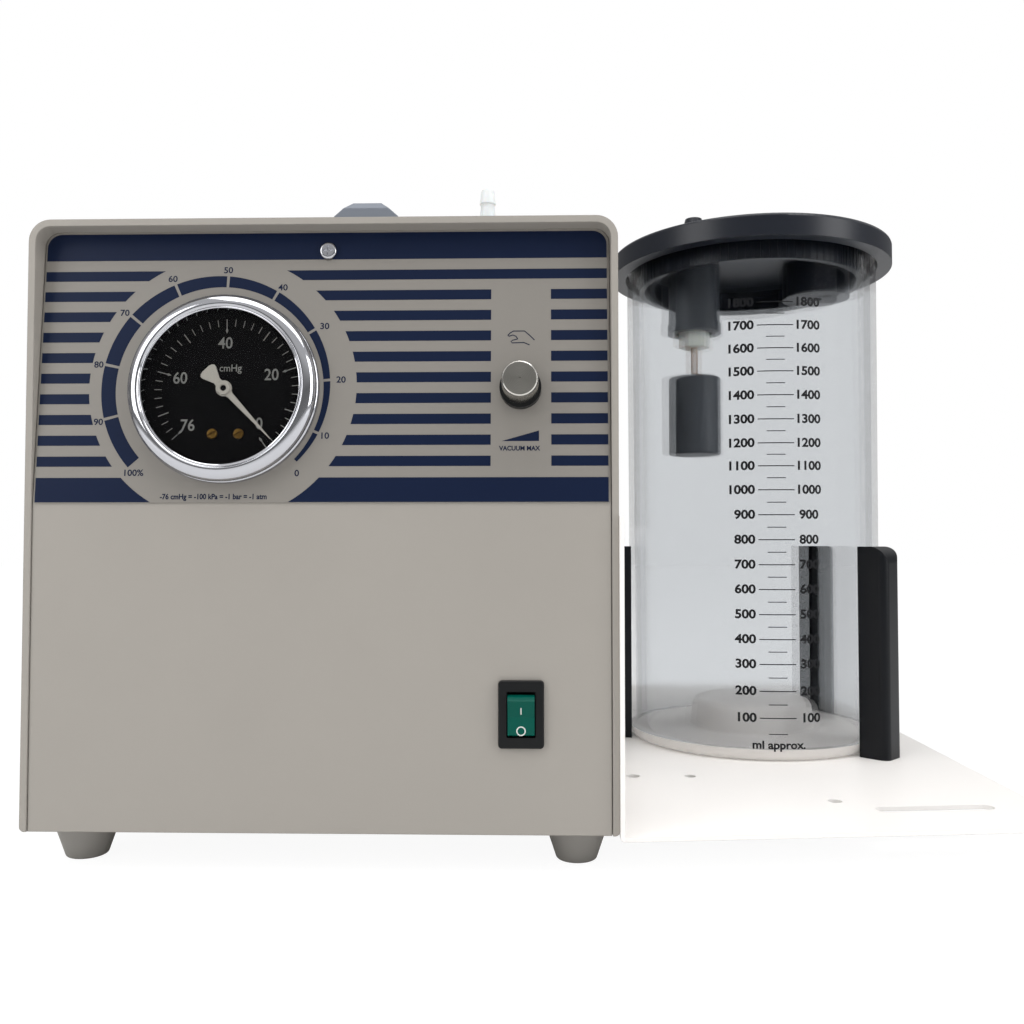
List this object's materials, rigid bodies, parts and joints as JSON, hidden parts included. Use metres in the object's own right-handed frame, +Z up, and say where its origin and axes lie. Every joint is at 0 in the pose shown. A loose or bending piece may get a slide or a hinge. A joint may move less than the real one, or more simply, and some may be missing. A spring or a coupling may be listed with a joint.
{
  "type": "laboratory suction pump",
  "caption": "Bench suction pump with a leaning control panel, vacuum gauge and regulator, and a lidded float jar on a side tray.",
  "frame": {"origin": "under the middle of the whole pump's bounding box, at the soles of the feet", "axes": "+Z up, -Y towards the user (the control panel), +X towards the jar"},
  "size_m": [0.3422, 0.3407, 0.2615],
  "materials": {
    "cabinet_paint": "satin warm light grey powder coat",
    "panel_paint": "satin warm grey powder coat",
    "label_film": "printed polyester film, navy on warm grey",
    "tray_paint": "satin white powder coat",
    "zinc_steel": "zinc plated",
    "chrome": "polished",
    "clear_glass": "clear",
    "dial_black": "matt black enamel",
    "pointer_metal": "plain",
    "brass": "plain brass",
    "black_plastic": "black moulded plastic",
    "knob_metal": "turned and knurled",
    "rocker_green": "translucent green",
    "handle_plastic": "dark grey moulded plastic",
    "port_plastic": "natural translucent plastic",
    "foot_rubber": "grey rubber",
    "jar_clear": "clear moulded polycarbonate",
    "lid_plastic": "dark blue grey moulded plastic",
    "seal_rubber": "black rubber",
    "float_plastic": "dark grey plastic",
    "nylon_white": "natural nylon",
    "motor_paint": "dark grey paint",
    "cast_alloy": "cast aluminium",
    "post_plastic": "black moulded plastic"
  },
  "bodies": {
    "cabinet": {"shell": "cabinet_paint", "front_panel": "panel_paint", "control_label": "label_film", "panel_screw": "chrome", "rear_panel": "cabinet_paint", "base_plate": "cabinet_paint", "foot_screws": "zinc_steel", "shell_screws": "zinc_steel", "gauge_case": "chrome", "gauge_ring": "chrome", "gauge_lens": "clear_glass", "gauge_dial": "dial_black", "gauge_movement": "brass", "dial_screws": "brass", "bourdon_tube": "brass", "valve_body": "black_plastic", "valve_nut": "brass", "rocker_housing": "black_plastic", "rocker_tabs": "brass", "handle": "handle_plastic", "handle_screws": "zinc_steel", "vacuum_port": "port_plastic", "port_nut": "nylon_white", "jar_tray": "tray_paint", "tray_screws": "zinc_steel", "post_screws": "zinc_steel", "motor": "motor_paint", "crankcase": "cast_alloy", "cylinder": "cast_alloy", "cylinder_head": "cast_alloy", "motor_cradle": "zinc_steel", "rubber_mounts": "seal_rubber", "mains_inlet": "black_plastic", "inlet_pins": "zinc_steel", "silencer": "brass", "foot_front_left": "foot_rubber", "foot_rear_left": "foot_rubber", "foot_front_right": "foot_rubber", "foot_rear_right": "foot_rubber", "post_left": "post_plastic", "post_front": "post_plastic", "post_rear": "post_plastic"},
    "pointer": {"gauge_pointer": "pointer_metal"},
    "knob": {"valve_knob": "knob_metal"},
    "needle": {"valve_needle": "brass"},
    "rocker": {"rocker_button": "rocker_green"},
    "crank": {"crank": "zinc_steel", "fan": "black_plastic"},
    "piston": {"piston": "cast_alloy"},
    "jar": {"jar": "jar_clear", "jar_base": "jar_clear"},
    "lid": {"lid": "lid_plastic", "lid_gasket": "seal_rubber", "lid_inlet_port": "lid_plastic", "lid_vacuum_port": "lid_plastic", "float_socket": "float_plastic", "float_nut": "nylon_white"},
    "float": {"float": "float_plastic", "float_rod": "brass", "float_seal": "seal_rubber"}
  },
  "joints": [
    {"name": "pointer_swing", "type": "hinge", "parent": "cabinet", "child": "pointer", "pos_m": [-0.1054, -0.15507, 0.15406], "axis": [0, -0.9976, 0.0696], "range_deg": [0, 273.6], "stiffness_Nm_per_rad": 0.00005},
    {"name": "knob_turn", "type": "hinge", "parent": "cabinet", "child": "knob", "pos_m": [-0.01, -0.15509, 0.15376], "axis": [0, -0.9976, 0.0696], "range_deg": [0, 1080]},
    {"name": "needle_slide", "type": "slide", "parent": "cabinet", "child": "needle", "axis": [0, -0.9976, 0.0696], "range_m": [0, 0.0021], "stiffness_N_per_m": 0.1, "springref_m": 0.0104},
    {"name": "rocker_tip", "type": "hinge", "parent": "cabinet", "child": "rocker", "pos_m": [-0.0098, -0.15714, 0.0507], "axis": [1, 0, 0], "range_deg": [-20, 0]},
    {"name": "crank_spin", "type": "hinge", "parent": "cabinet", "child": "crank", "pos_m": [-0.0769, -0.01814, 0.079], "axis": [0, 1, 0], "continuous": true},
    {"name": "piston_stroke", "type": "slide", "parent": "cabinet", "child": "piston", "axis": [0, 0, 1], "range_m": [-0.003, 0.003]},
    {"name": "jar_lift", "type": "slide", "parent": "cabinet", "child": "jar", "axis": [0, 0, 1], "range_m": [0, 0.1]},
    {"name": "lid_lift", "type": "slide", "parent": "jar", "child": "lid", "axis": [0, 0, 1], "range_m": [0, 0.1]},
    {"name": "float_rise", "type": "slide", "parent": "lid", "child": "float", "axis": [0, 0, 1], "range_m": [0, 0.012]}
  ],
  "couplings": [
    {"joint": "needle_slide", "follows": "knob_turn", "m_per_rad": 0.0001114}
  ]
}
